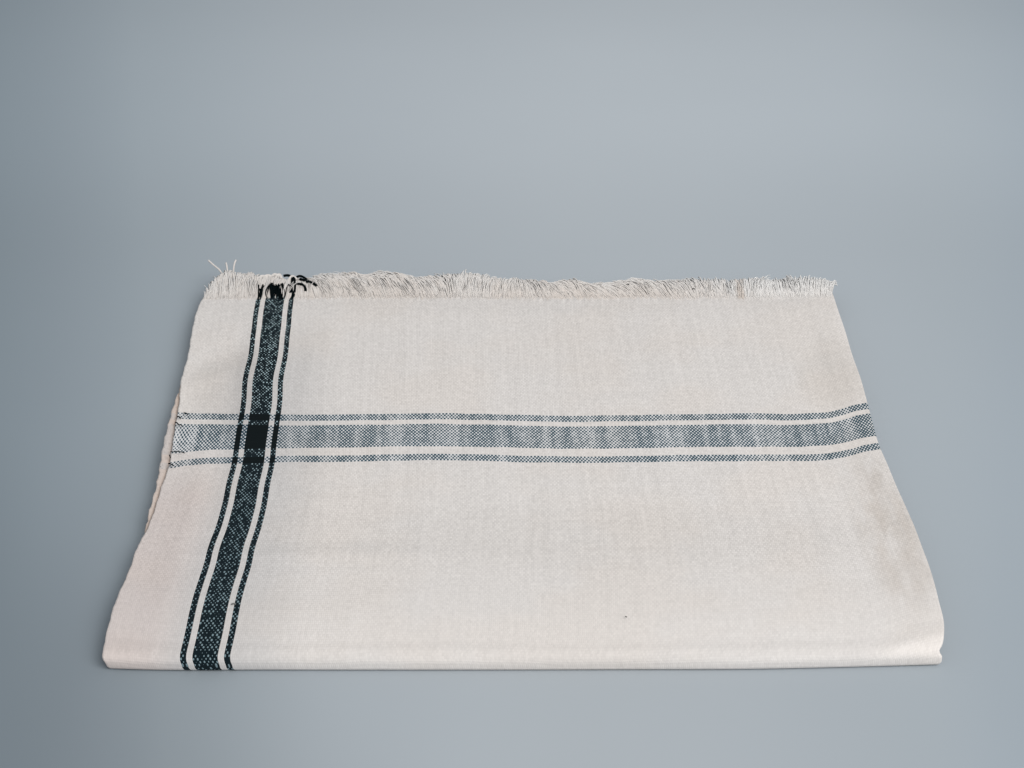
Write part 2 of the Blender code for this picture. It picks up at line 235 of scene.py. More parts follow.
# Edges along the path: piece of the path, how far along it, the right fold and both selvedges
EDGES = rows_of(
    ("piece", "at", "right", "left_outer", "left_inner"),
    (0, 0.000, 0.1985, -0.2016, -0.1990),
    (0, 0.051, 0.1988, -0.2036, -0.2008),
    (0, 0.131, 0.1995, -0.2032, -0.2010),
    (0, 0.220, 0.1995, -0.2014, -0.2008),
    (0, 0.296, 0.2003, -0.2015, -0.2012),
    (0, 0.376, 0.2001, -0.1989, -0.2021),
    (0, 0.437, 0.1998, -0.1978, -0.2022),
    (0, 0.498, 0.1998, -0.1965, -0.2018),
    (0, 0.553, 0.2012, -0.1954, -0.2006),
    (0, 0.614, 0.2025, -0.1963, -0.1995),
    (0, 0.676, 0.2043, -0.1967, -0.1996),
    (0, 0.731, 0.2058, -0.1980, -0.1990),
    (0, 0.774, 0.2064, -0.2003, -0.1985),
    (0, 0.829, 0.2072, -0.2011, -0.1982),
    (0, 0.914, 0.2068, -0.2036, -0.1990),
    (0, 0.976, 0.2058, -0.2042, -0.2000),
    (1, 0.12, 0.2028, -0.2042, -0.2004),
    (1, 0.25, 0.2016, -0.2041, -0.2002),
    (1, 0.38, 0.2020, -0.2037, -0.1999),
    (1, 0.50, 0.2030, -0.2030, -0.1996),
    (1, 0.62, 0.2031, -0.2020, -0.1992),
    (1, 0.75, 0.2022, -0.2009, -0.1988),
    (1, 0.88, 0.2008, -0.1998, -0.1984),
    (2, 0.01, 0.2004, -0.1985, -0.1980),
    (2, 0.18, 0.2012, -0.1992, -0.1976),
    (2, 0.35, 0.2000, -0.1984, -0.1990),
    (2, 0.52, 0.1972, -0.1976, -0.2000),
    (2, 0.69, 0.1968, -0.1990, -0.1996),
    (2, 0.86, 0.1960, -0.2000, -0.1984),
    (2, 1.00, 0.1954, -0.1994, -0.1980),
    (3, 0.50, 0.1950, -0.1989, -0.1982),
    (4, 0.00, 0.1954, -0.1992, -0.1986),
    (4, 0.14, 0.1962, -0.1999, -0.1980),
    (4, 0.31, 0.1972, -0.1990, -0.1996),
    (4, 0.48, 0.1976, -0.1972, -0.2004),
    (4, 0.65, 0.2004, -0.1966, -0.1990),
    (4, 0.82, 0.2036, -0.1982, -0.1976),
    (4, 1.00, 0.2022, -0.1992, -0.1982),
    (5, 0.50, 0.2014, -0.1994, -0.1987),
    (6, 0.00, 0.2022, -0.1992, -0.1992),
    (6, 0.18, 0.2040, -0.1985, -0.1996),
    (6, 0.35, 0.2008, -0.1970, -0.1984),
    (6, 0.52, 0.1974, -0.1972, -0.1968),
    (6, 0.69, 0.1974, -0.1988, -0.1980),
    (6, 0.86, 0.1966, -0.1998, -0.1992),
    (6, 1.00, 0.1952, -0.1990, -0.1986),
)

# How far the stack swells or sinks, as a share of its height, along each direction
SWELL_ALONG = rows_of(
    ("y", "swell"),
    (-0.182, -0.30),
    (-0.168, -0.25),
    (-0.158, -0.13),
    (-0.148, -0.04),
    (-0.134, 0.01),
    (-0.118, 0.00),
    (-0.060, 0.02),
    (0.000, -0.02),
    (0.060, 0.02),
    (0.120, -0.01),
    (0.180, 0.03),
)
SWELL_ACROSS = rows_of(
    ("x", "swell"),
    (-0.205, -0.02),
    (-0.150, 0.00),
    (-0.070, 0.02),
    (0.010, -0.01),
    (0.090, 0.01),
    (0.150, 0.00),
    (0.188, 0.04),
    (0.210, 0.09),
)

# How far the front of the stack is set back, by the place across the towel
SET_BACK = rows_of(
    ("x", "back"),
    (-0.205, 0.0012),
    (-0.185, 0.0002),
    (-0.120, 0.0),
    (-0.020, 0.0),
    (0.050, 0.0003),
    (0.112, 0.0006),
    (0.155, 0.0019),
    (0.206, 0.0038),
)
SET_BACK_FROM_Y = -0.060

# Soft troughs and ridges: middle, half sizes along and across, turn in degrees, height
CREASES = rows_of(
    ("x", "y", "along", "across", "turn", "height"),
    (-0.105, -0.090, 0.055, 0.0075, 0, -0.0007),
    (-0.090, -0.101, 0.075, 0.0032, 0, 0.0004),
    (-0.112, -0.131, 0.030, 0.0100, 2, -0.0005),
    (0.060, -0.098, 0.120, 0.0070, 1, 0.0002),
    (0.1810, 0.045, 0.045, 0.0065, 92, -0.0009),
    (0.1870, -0.020, 0.040, 0.0065, 95, -0.0007),
    (0.1930, -0.088, 0.045, 0.0075, 96, -0.0013),
    (-0.180, 0.085, 0.030, 0.0070, 35, -0.0009),
    (-0.178, 0.120, 0.024, 0.0100, 48, 0.0007),
    (-0.186, 0.060, 0.020, 0.0060, 30, 0.0006),
    (-0.192, -0.050, 0.080, 0.0140, 90, -0.0013),
    (-0.166, -0.120, 0.030, 0.0070, 70, 0.0004),
)

# Where the weft lies off its straight line, by the place across the towel
WEFT_DRIFT = rows_of(
    ("x", "drift"),
    (-0.205, 0.0030),
    (-0.194, 0.0024),
    (-0.184, 0.0016),
    (-0.172, 0.0006),
    (-0.150, -0.0002),
    (-0.126, -0.0006),
    (-0.098, -0.0006),
    (-0.070, 0.0002),
    (-0.041, 0.0005),
    (-0.013, -0.0001),
    (0.016, -0.0013),
    (0.044, -0.0013),
    (0.102, 0.0001),
    (0.130, 0.0006),
    (0.159, 0.0000),
    (0.174, 0.0016),
    (0.189, 0.0078),
    (0.202, 0.0106),
    (0.208, 0.0114),
)

# How far the dark weft stripes are spread lengthways at their front, by the place across the towel
WEFT_FAN = rows_of(
    ("x", "fan"),
    (-0.205, 0.0074),
    (-0.193, 0.0058),
    (-0.188, 0.0042),
    (-0.183, 0.0031),
    (-0.176, 0.0021),
    (-0.168, 0.0017),
    (-0.150, 0.0006),
    (-0.125, -0.0006),
    (-0.090, -0.0009),
    (0.060, -0.0009),
    (0.133, -0.0009),
    (0.160, -0.0012),
    (0.183, -0.0020),
    (0.208, -0.0014),
)
FAN_FROM = 0.142
FAN_FULL = 0.166
FAN_GOING = 0.190
FAN_GONE = 0.250

# Where the warp stripes lie off their straight line, by the way along the cloth
WARP_DRIFT = rows_of(
    ("along", "drift"),
    (0.000, 0.0016),
    (0.008, 0.0010),
    (0.014, 0.0002),
    (0.024, -0.0005),
    (0.036, -0.0009),
    (0.055, -0.0008),
    (0.090, -0.0009),
    (0.128, -0.0006),
    (0.185, 0.0004),
    (0.215, -0.0002),
    (0.240, -0.0005),
    (0.260, -0.0013),
    (0.280, -0.0013),
    (0.300, -0.0019),
    (0.320, -0.0021),
    (0.330, -0.0018),
    (0.340, -0.0008),
    (0.400, 0.0000),
    (1.400, 0.0000),
)
WARP_DRIFT_FROM_X = -0.060
WARP_DRIFT_BLEND = 0.080


def reading(table, key, value, at):
    """A smooth curve through one column of a table, read at an array of places."""
    keys = np.array([row[key] for row in table])
    values = np.array([row[value] for row in table])
    slopes = np.gradient(values, keys)
    at = np.clip(at, keys[0], keys[-1])
    low = np.clip(np.searchsorted(keys, at, side="right") - 1, 0, len(keys) - 2)
    span = keys[low + 1] - keys[low]
    share = (at - keys[low]) / span
    square = share * share
    cube = square * share
    return (
        (2 * cube - 3 * square + 1) * values[low]
        + (cube - 2 * square + share) * span * slopes[low]
        + (3 * square - 2 * cube) * values[low + 1]
        + (cube - square) * span * slopes[low + 1]
    )


NOSE_MIDDLE_Z = (PAIR_Z["bottom"] + PAIR_Z["top"]) / 2
NOSE_FULLNESS = 0.42
NOSE_REACH = 0.86


def settled(x, y, z):
    """The place of a point once the stack has swelled, sunk and creased under its own weight."""
    # The front fold sags: the lower half of its round is fuller than a circle
    out = np.clip(OUTER_FOLD_Y - y, 0.0, None)
    down = np.clip(NOSE_MIDDLE_Z - z, 0.0, None)
    round_size = np.maximum(np.hypot(out, down), 1e-9)
    in_nose = (out > 0) & (down > 0)
    y = np.where(in_nose, OUTER_FOLD_Y - round_size * (out / round_size) ** NOSE_FULLNESS, y)
    y = np.where(out > 0, OUTER_FOLD_Y - (OUTER_FOLD_Y - y) * NOSE_REACH, y)
    z = np.where(in_nose, NOSE_MIDDLE_Z - round_size * (down / round_size) ** NOSE_FULLNESS, z)
    swell = reading(SWELL_ALONG, "y", "swell", y) + reading(SWELL_ACROSS, "x", "swell", x)
    share = np.clip((SET_BACK_FROM_Y - y) / (SET_BACK_FROM_Y - OUTER_FOLD_Y), 0.0, 1.0)
    back = reading(SET_BACK, "x", "back", x) * share * share * (3 - 2 * share)
    height = (z - FLOOR_MIDDLE) / (PAIR_Z["top"] + PAIR_HALF - FLOOR_MIDDLE)
    rise = np.zeros_like(x)
    for crease in CREASES:
        turn = math.radians(crease["turn"])
        along = (x - crease["x"]) * math.cos(turn) + (y - crease["y"]) * math.sin(turn)
        across = (y - crease["y"]) * math.cos(turn) - (x - crease["x"]) * math.sin(turn)
        reach = (along / crease["along"]) ** 2 + (across / crease["across"]) ** 2
        rise += crease["height"] * np.exp(-reach)
    z = FLOOR_MIDDLE + (z - FLOOR_MIDDLE) * (1 + swell) + rise * height
    return np.stack([x, y - MIDDLE_Y + back, z], axis=-1)


def path_length(piece):
    """How much cloth one run or turn of the path takes."""
    if piece["kind"] == "run":
        return abs(piece["to"] - piece["from"])
    return math.pi * (PAIR_Z[piece["high"]] - PAIR_Z[piece["low"]]) / 2


def path_point(piece, share):
    """Middle of the doubled cloth part of the way along a run or turn, and its outer side."""
    if piece["kind"] == "run":
        y = piece["from"] + share * (piece["to"] - piece["from"])
        return y, piece["z"], 0.0, piece["face"]
    low = PAIR_Z[piece["low"]]
    high = PAIR_Z[piece["high"]]
    turned = math.radians(piece["from"] + piece["side"] * 180 * share)
    y = piece["y"] + (high - low) / 2 * math.cos(turned)
    z = (high + low) / 2 + (high - low) / 2 * math.sin(turned)
    return y, z, piece["face"] * math.cos(turned), piece["face"] * math.sin(turned)


starts = [0.0]
for piece in PATH:
    starts.append(starts[-1] + path_length(piece))
FLAT_LENGTH = starts[-1]
edge_rows = []
for row in EDGES:
    along = starts[row["piece"]] + row["at"] * path_length(PATH[row["piece"]])
    edge_rows.append({**row, "along": along})

stations = []
for number, piece in enumerate(PATH):
    length = path_length(piece)
    step = FINE_STEP if number == 0 else COARSE_STEP
    count = round(length / step) if piece["kind"] == "run" else round(math.pi / TURN_STEP)
    last = count + 1 if number == len(PATH) - 1 else count
    for k in range(last):
        share = k / count
        stations.append((starts[number] + share * length, *path_point(piece, share)))
stations = np.array(stations)
along = stations[:, 0]
right = reading(edge_rows, "along", "right", along)
left_outer = reading(edge_rows, "along", "left_outer", along)
left_inner = reading(edge_rows, "along", "left_inner", along)

# The selvedges wave a little: height of each wave, radians to a metre, and where it starts
OUTER_WAVES = [(0.00018, 430, 0.0), (0.00010, 1010, 2.0)]
INNER_WAVES = [(0.00030, 470, 1.0), (0.00016, 1050, 0.0)]
SELVEDGE_POWER = 40


def waving(waves):
    """The sum of some waves at every station along the cloth."""
    return sum(height * np.sin(along * often + start) for height, often, start in waves)


wave_outer = waving(OUTER_WAVES)
wave_inner = waving(INNER_WAVES)

# The lower selvedge of the top pair of layers is rolled, and painted shade darkens the groove beside the
# upper one
TOP_LAYER_Z = 0.0105
TOP_LAYER_BLEND = 0.0010
ROLL = 0.0012
ROLL_FROM = 0.0008
ROLL_WIDTH = 0.0018
GROOVE_SHADE_WIDTH = 0.0019

COLUMNS = 54
SELVEDGE_SHARES = [0.972, 0.979, 0.984, 0.9875, 0.9900, 0.9920, 0.9940, 0.9960, 0.9980, 1.0]
HAIRPIN_STEPS = 8
shares = np.append(np.linspace(0.0, 0.962, COLUMNS), SELVEDGE_SHARES)
turns = [math.pi / 2 - math.pi * k / HAIRPIN_STEPS for k in range(1, HAIRPIN_STEPS)]
fold_x = right - PAIR_HALF - SHEET / 2
columns = []
for share in shares[::-1]:
    x = fold_x + share * (left_outer - fold_x) + share**SELVEDGE_POWER * wave_outer
    columns.append((x, PAIR_HALF, (1 - share) * HALF_WIDTH))
for turn in turns:
    x = fold_x + PAIR_HALF * math.cos(turn)
    columns.append((x, PAIR_HALF * math.sin(turn), HALF_WIDTH - PAIR_HALF * turn))
for share in shares:
    x = fold_x + share * (left_inner - fold_x) + share**SELVEDGE_POWER * wave_inner
    columns.append((x, -PAIR_HALF, (1 + share) * HALF_WIDTH))

fanned = np.clip((along - FAN_FROM) / (FAN_FULL - FAN_FROM), 0.0, 1.0)
fanned = fanned * np.clip((FAN_GONE - along) / (FAN_GONE - FAN_GOING), 0.0, 1.0)
fanned = fanned * fanned * (3 - 2 * fanned)

grid = []
flat = []
groove_shade = []
for x, out, across in columns:
    y = stations[:, 1] + out * stations[:, 3]
    z = stations[:, 2] + out * stations[:, 4]
    on_top = np.clip((z - TOP_LAYER_Z) / TOP_LAYER_BLEND, 0.0, 1.0) * (1.0 if out < 0 else 0.0)
    beyond = left_outer - x
    z = z + ROLL * on_top * np.clip((beyond - ROLL_FROM) / ROLL_WIDTH, 0.0, 1.0)
    # Painted shade: how far into the groove beside the upper layer's edge each point lies
    groove_shade.append(on_top * np.exp(-((np.maximum(beyond, 0.0) / GROOVE_SHADE_WIDTH) ** 2)))
    grid.append(settled(x, y, z))
    drift = reading(WEFT_DRIFT, "x", "drift", x) - reading(WEFT_FAN, "x", "fan", x) * fanned
    near_left = np.clip((WARP_DRIFT_FROM_X - x) / WARP_DRIFT_BLEND, 0.0, 1.0)
    aside = reading(WARP_DRIFT, "along", "drift", along) * near_left * (1 if out >= 0 else -1)
    flat.append(np.stack([across + aside, along + drift], axis=-1))
grid = np.stack(grid, axis=1)
flat = np.stack(flat, axis=1)
rows, across_count = grid.shape[:2]
faces = []
for row in range(rows - 1):
    for column in range(across_count - 1):
        first = row * across_count + column
        faces.append((first, first + 1, first + across_count + 1, first + across_count))
cloth_mesh = bpy.data.meshes.new("Cloth")
cloth_mesh.from_pydata(grid.reshape(-1, 3).tolist(), [], faces)
place_in_cloth = cloth_mesh.uv_layers.new(name="Flat place")
groove_shade_layer = cloth_mesh.attributes.new("groove_shade", "FLOAT", "POINT")
groove_shade_layer.data.foreach_set("value", np.stack(groove_shade, axis=1).reshape(-1))
corners = np.array(faces).reshape(-1)
place_in_cloth.data.foreach_set("uv", flat.reshape(-1, 2)[corners].reshape(-1))
cloth = placed("Cloth", cloth_mesh)
thickness = cloth.modifiers.new("Thickness", "SOLIDIFY")
thickness.thickness = SHEET
thickness.offset = 0.0

# Weave: the pitch of the yarns, which of them are dark, and their colours
END = 0.00100
PICK = 0.00150
DARK_ENDS = [(36, 38), (42, 53), (57, 59)]
DARK_PICKS = [(89, 92), (96, 110), (116, 119)]
CREAM_WARP = (0.653, 0.621, 0.598, 1.0)
CREAM_WEFT = (0.612, 0.581, 0.557, 1.0)
DARK_WARP_YARN = (0.0020, 0.0052, 0.0064, 1.0)
DARK_WARP_ON_CREAM = (0.0052, 0.0112, 0.0150, 1.0)
DARK_WEFT_YARN = (0.037, 0.074, 0.098, 1.0)
WEFT_IN_DARK_BACK = (0.340, 0.450, 0.480, 1.0)
WEFT_IN_DARK_FRONT = (0.175, 0.245, 0.270, 1.0)
CREAM_IN_BAND = (0.610, 0.612, 0.615, 1.0)
SHADED_ROSY_SELVEDGE = (0.850, 0.775, 0.735, 1.0)
LEFT_BORDER_SHADE = (0.870, 0.825, 0.822, 1.0)
GROOVE_SHADE_TINT = (0.76, 0.70, 0.65, 1.0)
BESIDE_DARK_TINT = (0.845, 0.855, 0.868, 1.0)
FOLD_TROUGH_SHADE_TINT = (0.850, 0.822, 0.792, 1.0)
MOTTLE_TINT = (1.0, 0.985, 0.970, 1.0)
WANDER_SIDEWAYS = 0.0003
WANDER_LENGTHWAYS = 0.0020
BEFORE_CREST_SHARE = 0.55
CREST = (0.3300, 0.3365)
CREST_PAINTED_LIGHT = 0.12
ABOVE_CREST_PAINTED_SHADE = -0.035
HOLLOW_SHADE = 0.07
YARN_RELIEF = 0.00018
# Painted shade in the soft trough beside the right fold: middle, and half sizes across and along
FOLD_TROUGH_SHADE = (0.389, 0.248, 0.022, 0.085)

# Places of painted shade on the flat cloth, as by the fold: middle, half sizes across and along, and tint
SHADE_PATCHES = rows_of(
    ("across", "along", "half_across", "half_along", "tint"),
    (0.385, 0.100, 0.026, 0.045, (0.920, 0.910, 0.895, 1.0)),
    (0.240, 0.247, 0.230, 0.034, (0.950, 0.948, 0.945, 1.0)),
    (0.030, 0.110, 0.030, 0.060, (0.900, 0.895, 0.890, 1.0)),
)

cloth_look = bpy.data.materials.new("Handwoven cotton")
cloth_look.use_nodes = True
nodes = cloth_look.node_tree.nodes
links = cloth_look.node_tree.links
shader = nodes["Principled BSDF"]


def pair_of(x, y):
    """Two numbers as the place that a texture reads."""
    return added("ShaderNodeCombineXYZ", {0: x, 1: y})


def unevenness(x_scale, y_scale, detail=2.0, output=0):
    """Noise in the flat cloth, with so many waves a metre across and along it."""
    x = reckoned("MULTIPLY", across_flat, x_scale)
    y = reckoned("MULTIPLY", along_flat, y_scale)
    inputs = {"Scale": 1.0, "Detail": detail, "Vector": pair_of(x, y)}
    return added("ShaderNodeTexNoise", inputs, output)


def swing(noise, amount):
    """Noise as a change up and down by about an amount."""
    return reckoned("MULTIPLY", reckoned("SUBTRACT", noise, 0.5), amount)


def tinted(share, colour, tint):
    """A colour multiplied by a tint, by a share."""
    return mixed(share, colour, tint, blend_type="MULTIPLY")


def among(count, ranges):
    """1 where a yarn's number lies in one of the ranges, and 0 elsewhere."""
    total = None
    for low, high in ranges:
        far = reckoned("ABSOLUTE", reckoned("SUBTRACT", count, (low + high) / 2))
        inside = reckoned("LESS_THAN", far, (high - low) / 2 + 0.25)
        total = inside if total is None else reckoned("ADD", total, inside)
    return total


flat_place = parts(added("ShaderNodeUVMap", {}, uv_map="Flat place"))
across_flat = flat_place[0]
along_flat = flat_place[1]

# The yarns wander a little from their straight lines
wander = added("ShaderNodeSeparateColor", {0: unevenness(60.0, 45.0, output=1)}).node.outputs
sideways = swing(wander[0], WANDER_SIDEWAYS)
lengthways = swing(wander[1], WANDER_LENGTHWAYS)
across_cloth = reckoned("ADD", across_flat, sideways)
along_cloth = reckoned("ADD", along_flat, lengthways)

# Distance from the nearer selvedge and the nearer end, so the stripes repeat on both
off_middle = reckoned("ABSOLUTE", reckoned("SUBTRACT", across_cloth, HALF_WIDTH))
from_side = reckoned("SUBTRACT", HALF_WIDTH, off_middle)
off_half = reckoned("ABSOLUTE", reckoned("SUBTRACT", along_cloth, FLAT_LENGTH / 2))
from_end = reckoned("SUBTRACT", FLAT_LENGTH / 2, off_half)
ends = reckoned("ADD", reckoned("DIVIDE", from_side, END), 0.5)
picks = reckoned("DIVIDE", from_end, PICK)
end_number = reckoned("FLOOR", ends)
pick_number = reckoned("FLOOR", picks)
dark_warp = among(end_number, DARK_ENDS)
dark_weft = among(pick_number, DARK_PICKS)
yarn_numbers = {"Vector": pair_of(end_number, pick_number)}
one_by_one = added("ShaderNodeTexWhiteNoise", yarn_numbers, noise_dimensions="2D")

# Over and under: positive where a warp end lies on top, negative where a weft pick does
crossing = reckoned(
    "MULTIPLY",
    reckoned("SINE", reckoned("MULTIPLY", ends, math.pi)),
    reckoned("SINE", reckoned("MULTIPLY", picks, math.pi)),
)
near_left_side = reckoned("SUBTRACT", 1.0, eased(across_flat, 0.004, 0.014))
near_right_side = eased(across_flat, 0.786, 0.793)
weft_alone = reckoned("MULTIPLY", dark_weft, reckoned("SUBTRACT", 1.0, dark_warp))
streaks = reckoned("MULTIPLY_ADD", dark_warp, -0.80, 1.3)
cover = reckoned("MULTIPLY", swing(unevenness(190.0, 9.0, 3.0), 1.0), streaks)
for where, amount in (
    (near_left_side, 0.34),
    (near_right_side, 1.10),
    (dark_warp, 0.62),
    (weft_alone, -0.10),
):
    cover = reckoned("MULTIPLY_ADD", where, amount, cover)
chance_here = reckoned("MULTIPLY_ADD", dark_warp, 0.70, 0.35)
cover = reckoned("ADD", cover, reckoned("MULTIPLY", swing(one_by_one, 1.0), chance_here))
shown = reckoned("ADD", crossing, cover)
sharp_share = reckoned("MULTIPLY", eased(shown, -0.10, 0.10), reckoned("SUBTRACT", 1.0, dark_warp))
soft_share = reckoned("MULTIPLY", eased(shown, -0.18, 0.10), dark_warp)
warp_share = reckoned("ADD", sharp_share, soft_share)

weft_at_crossing = mixed(dark_warp, DARK_WEFT_YARN, DARK_WARP_YARN)
weft_in_dark = mixed(eased(along_flat, 0.10, 0.24), WEFT_IN_DARK_BACK, WEFT_IN_DARK_FRONT)
# Just before the crest of the front fold the weft is nearer the warp in colour, and the weave is flatter
# and a little darker
before_crest = reckoned("MULTIPLY", eased(along_flat, 0.25, 0.315), BEFORE_CREST_SHARE)
light_weft = mixed(dark_warp, mixed(before_crest, CREAM_WEFT, CREAM_WARP), weft_in_dark)
weft_colour = mixed(dark_weft, light_weft, weft_at_crossing)
pale_warp = mixed(dark_weft, CREAM_WARP, CREAM_IN_BAND)
dark_ends = mixed(dark_weft, DARK_WARP_ON_CREAM, DARK_WARP_YARN)
warp_colour = mixed(dark_warp, pale_warp, dark_ends)
woven = mixed(warp_share, weft_colour, warp_colour)

# The lower selvedge and the left border are painted darker and a little rosier than the rest: painted shade
# in the crease beside the upper layer, and on the border that slopes away from the light
woven = tinted(near_right_side, woven, SHADED_ROSY_SELVEDGE)
shaded_border = reckoned("SUBTRACT", 1.0, eased(across_flat, 0.016, 0.042))
shaded_border = reckoned("MULTIPLY", shaded_border, eased(along_flat, 0.15, 0.22))
woven = tinted(shaded_border, woven, LEFT_BORDER_SHADE)


def carried(name):
    """A value that the mesh carries, read by its name."""
    return added("ShaderNodeAttribute", {}, "Fac", attribute_name=name)


# Painted shade in the groove beside the upper layer's edge
woven = tinted(carried("groove_shade"), woven, GROOVE_SHADE_TINT)


def patch(across, along, half_across, half_along):
    """1 at a place in the flat cloth, falling softly to 0 at its half sizes."""
    far_across = reckoned("DIVIDE", reckoned("SUBTRACT", across_flat, across), half_across)
    far_along = reckoned("DIVIDE", reckoned("SUBTRACT", along_flat, along), half_along)
    far = reckoned("ADD", reckoned("POWER", far_across, 2.0), reckoned("POWER", far_along, 2.0))
    return reckoned("SUBTRACT", 1.0, eased(far, 0.05, 1.0))


# The cloth is duller beside the dark ends, and painted shade darkens it by the right fold and in a few
# other places
past_dark = reckoned("SUBTRACT", 1.0, eased(from_side, 0.062, 0.098))
beside_dark = reckoned("MULTIPLY", eased(from_side, 0.022, 0.036), past_dark)
beside_dark = reckoned("MULTIPLY", beside_dark, reckoned("SUBTRACT", 1.0, dark_warp))
beside_dark = reckoned("MULTIPLY", beside_dark, eased(along_flat, 0.00, 0.10))
woven = tinted(beside_dark, woven, BESIDE_DARK_TINT)
blotched = eased(unevenness(110.0, 30.0), 0.20, 0.66)
fold_trough_shade = reckoned("MULTIPLY", patch(*FOLD_TROUGH_SHADE), blotched)
woven = tinted(fold_trough_shade, woven, FOLD_TROUGH_SHADE_TINT)
for row in SHADE_PATCHES:
    patch_shade = patch(row["across"], row["along"], row["half_across"], row["half_along"])
    woven = tinted(patch_shade, woven, row["tint"])
mottling = eased(unevenness(14.0, 14.0, 3.0), 0.42, 0.62)
woven = tinted(mottling, woven, MOTTLE_TINT)

# Shade in the hollows between the yarns, and soft streaks from uneven yarn
hollow = reckoned("SUBTRACT", 1.0, reckoned("ABSOLUTE", crossing))
hollow = reckoned("MULTIPLY", reckoned("POWER", hollow, 3.0), HOLLOW_SHADE)
near_end = reckoned("SUBTRACT", 1.0, eased(from_end, 0.004, 0.013))
uneven_warp = unevenness(420.0, 7.0, 3.0)
uneven_weft = unevenness(6.0, 380.0, 3.0)
ribs = reckoned("MULTIPLY", swing(unevenness(430.0, 30.0), 0.60), near_end)
level = reckoned("SUBTRACT", 1.0, hollow)
for noise, amount in (
    (uneven_warp, 0.15),
    (uneven_weft, 0.07),
    (unevenness(560.0, 430.0), 0.24),
    (unevenness(190.0, 130.0), 0.07),
    (one_by_one, 0.09),
):
    level = reckoned("ADD", level, swing(noise, amount))
level = reckoned("ADD", level, ribs)
# Before the crest the weave's light and dark are evened out, and the cloth is a little darker
flatter = reckoned("SUBTRACT", 1.0, reckoned("MULTIPLY", before_crest, 0.7))
level = reckoned("MULTIPLY_ADD", reckoned("SUBTRACT", level, 1.0), flatter, 1.0)
level = reckoned("MULTIPLY_ADD", before_crest, -0.060, level)
# Painted shade: the cloth is a little darker near both its ends
shade_by_end = reckoned("SUBTRACT", 1.0, eased(from_end, 0.010, 0.034))
level = reckoned("MULTIPLY_ADD", shade_by_end, -0.04, level)
# Painted light and shade: the front fold is painted paler from its crest down, where it faces the light,
# and a little darker just above the crest
level = reckoned("MULTIPLY_ADD", eased(along_flat, *CREST), CREST_PAINTED_LIGHT, level)
above_crest_shade = patch(0.0, 0.3290, 4.0, 0.0070)
level = reckoned("MULTIPLY_ADD", above_crest_shade, ABOVE_CREST_PAINTED_SHADE, level)
links.new(scaled(woven, level), shader.inputs["Base Color"])
shader.inputs["Roughness"].default_value = 1.0
shader.inputs["Specular IOR Level"].default_value = 0.06
shader.inputs["Sheen Weight"].default_value = 0.02
shader.inputs["Sheen Roughness"].default_value = 0.6

relief = reckoned("MULTIPLY_ADD", uneven_warp, 1.2, reckoned("ABSOLUTE", crossing))
relief = reckoned("MULTIPLY_ADD", uneven_weft, 0.8, relief)
bump = added("ShaderNodeBump", {"Strength": 0.4, "Distance": YARN_RELIEF, "Height": relief})
links.new(bump, shader.inputs["Normal"])
cloth_mesh.materials.append(cloth_look)
graph = bpy.context.evaluated_depsgraph_get()
made = bpy.data.meshes.new_from_object(cloth.evaluated_get(graph))
cloth.modifiers.clear()
cloth.data = made
made.name = "Cloth"
made.shade_smooth()
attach(cloth, "root")
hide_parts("cloth")


# Fringes
# Loose warp ends past the last picks at both ends of the cloth, frayed into soft locks.
# They are the same cotton yarns, cream, and nearly black where the dark stripes run out.
YARN_POINTS = 8
YARN_SIDES = 4
YARN_SEED = 23
YARN_PALE_ROOT = (0.748, 0.672, 0.612, 1.0)
YARN_PALE_TIP = (0.880, 0.870, 0.860, 1.0)
NAP_SHARE = 0.92
NAP_SIDE = (0.10, -0.42, 0.90)
LIGHT_THROUGH = 0.34

# How the yarns lie, by the place across: lean to the right, share of the row's length and
# of its lift, and paleness
YARN_LIE = rows_of(
    ("x", "lean", "length", "lift", "pale"),
    (-0.203, 0.0004, 0.10, 0.3, 0.9),
    (-0.199, -0.0006, 0.50, 0.9, 0.9),
    (-0.195, -0.0016, 0.98, 1.3, 0.9),
    (-0.190, -0.0020, 1.30, 1.7, 0.9),
    (-0.181, -0.0010, 1.34, 1.6, 0.8),
    (-0.170, 0.0010, 1.06, 1.2, 0.7),
    (-0.160, 0.0014, 1.00, 1.1, 0.7),
    (-0.145, 0.0030, 0.92, 0.9, 0.7),
    (-0.136, -0.0020, 0.98, 0.9, 0.6),
    (-0.124, -0.0090, 1.15, 1.0, 0.6),
    (-0.105, -0.0120, 1.34, 1.2, 0.6),
    (-0.092, -0.0120, 1.18, 1.1, 0.5),
    (-0.080, -0.0125, 1.42, 1.3, 0.6),
    (-0.062, -0.0100, 1.16, 1.1, 0.5),
    (-0.050, -0.0060, 1.22, 1.2, 0.7),
    (-0.033, 0.0030, 1.36, 1.3, 1.0),
    (-0.014, 0.0026, 0.96, 0.9, 0.6),
    (0.012, -0.0054, 0.92, 0.8, 0.6),
    (0.026, -0.0100, 0.78, 0.6, 0.4),
    (0.038, -0.0110, 0.92, 0.7, 0.4),
    (0.052, -0.0120, 0.74, 0.6, 0.4),
    (0.083, -0.0110, 0.86, 0.7, 0.5),
    (0.102, -0.0090, 0.90, 0.8, 0.6),
    (0.114, -0.0040, 0.98, 0.8, 0.8),
    (0.130, -0.0010, 0.92, 0.7, 0.9),
    (0.1365, 0.0000, 0.92, 0.7, 0.9),
    (0.1380, 0.0002, 0.92, 0.7, 0.0),
    (0.1405, 0.0008, 0.96, 0.7, 0.0),
    (0.1420, 0.0016, 1.00, 0.75, 1.0),
    (0.146, 0.0030, 1.05, 0.8, 1.2),
    (0.160, 0.0024, 1.00, 0.7, 1.3),
    (0.172, 0.0004, 1.08, 0.8, 1.3),
    (0.190, 0.0030, 1.02, 0.7, 1.3),
    (0.199, 0.0050, 0.74, 0.6, 1.3),
)

